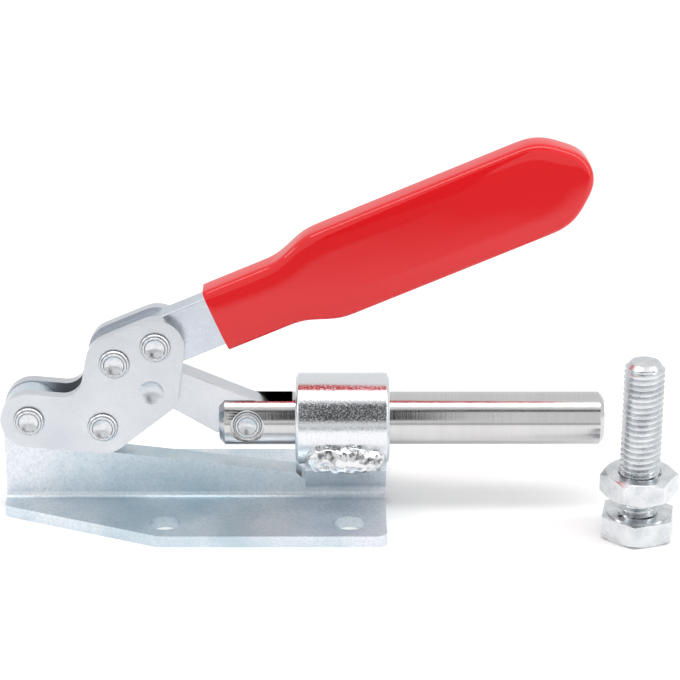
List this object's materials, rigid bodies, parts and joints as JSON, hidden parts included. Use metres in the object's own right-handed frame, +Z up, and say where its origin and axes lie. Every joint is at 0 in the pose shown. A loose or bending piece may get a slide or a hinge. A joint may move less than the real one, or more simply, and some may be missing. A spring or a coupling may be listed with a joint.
{
  "type": "push-pull toggle clamp",
  "caption": "Straight-line push-pull toggle clamp: flanged base, welded guide collar, sliding plunger, linked lever with a dipped grip, and a spindle bolt with its nut.",
  "frame": {"origin": "centre of the four base holes, on the underside of the base", "axes": "+X is the push direction of the plunger, +Z is up away from the base; Y is across the base, and the lever swings in the XZ plane"},
  "size_m": [0.1691, 0.0536, 0.0969],
  "materials": {
    "zinc_steel": "bright zinc plate on pressed steel",
    "weld": "rough weld under zinc plate",
    "ground_steel": "ground and polished bar",
    "rivet_steel": "cold-formed rivet, zinc plated",
    "red_vinyl": "glossy dipped vinyl",
    "bolt_steel": "bright zinc plate"
  },
  "bodies": {
    "base": {"base_plate_front": "zinc_steel", "base_plate_rear": "zinc_steel", "guide_collar": "zinc_steel", "weld_bead_front": "weld", "weld_bead_rear": "weld", "base_rivet": "rivet_steel", "spindle_bolt": "bolt_steel", "lock_nut": "bolt_steel"},
    "lever": {"side_plate_front": "zinc_steel", "side_plate_rear": "zinc_steel", "handle_bar": "zinc_steel", "grip": "red_vinyl", "link_rivet": "rivet_steel", "rear_handle_rivet": "rivet_steel", "front_handle_rivet": "rivet_steel"},
    "link": {"link": "zinc_steel"},
    "plunger": {"plunger": "ground_steel", "plunger_rivet": "rivet_steel"}
  },
  "joints": [
    {"name": "lever_swing", "type": "hinge", "parent": "base", "child": "lever", "pos_m": [-0.0574, 0, 0.0253], "axis": [0, -1, 0], "range_deg": [0, 122]},
    {"name": "link_swing", "type": "hinge", "parent": "lever", "child": "link", "pos_m": [-0.03895, 0, 0.0236], "axis": [0, -1, 0], "range_deg": [-152.26, 0]},
    {"name": "plunger_slide", "type": "slide", "parent": "base", "child": "plunger", "axis": [-1, 0, 0], "range_m": [0, 0.03178]}
  ],
  "couplings": [
    {"joint": "link_swing", "follows": "lever_swing", "ratio": -1.2479},
    {"joint": "plunger_slide", "follows": "lever_swing", "m_per_rad": 0.014921}
  ]
}
